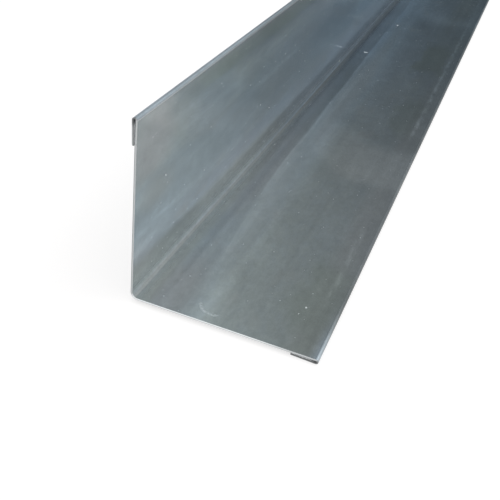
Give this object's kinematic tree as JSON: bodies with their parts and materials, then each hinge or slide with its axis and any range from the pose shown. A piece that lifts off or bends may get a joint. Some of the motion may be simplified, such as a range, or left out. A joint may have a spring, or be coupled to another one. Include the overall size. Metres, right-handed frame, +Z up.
{
  "type": "stainless steel angle",
  "caption": "Stainless sheet folded to a right angle with equal legs, each free edge turned back under its leg as an open teardrop hem.",
  "frame": {"origin": "centre of the length and of the overall width, on the floor under the base leg's hem", "axes": "+Y along the length, base leg flat and reaching towards +X, wall leg standing up along +Z"},
  "size_m": [0.1018, 1, 0.1018],
  "materials": {
    "stainless_sheet": "satin mill finish with lengthwise grain, bright cut ends"
  },
  "bodies": {
    "root": {"hemmed_angle": "stainless_sheet"}
  },
  "joints": []
}
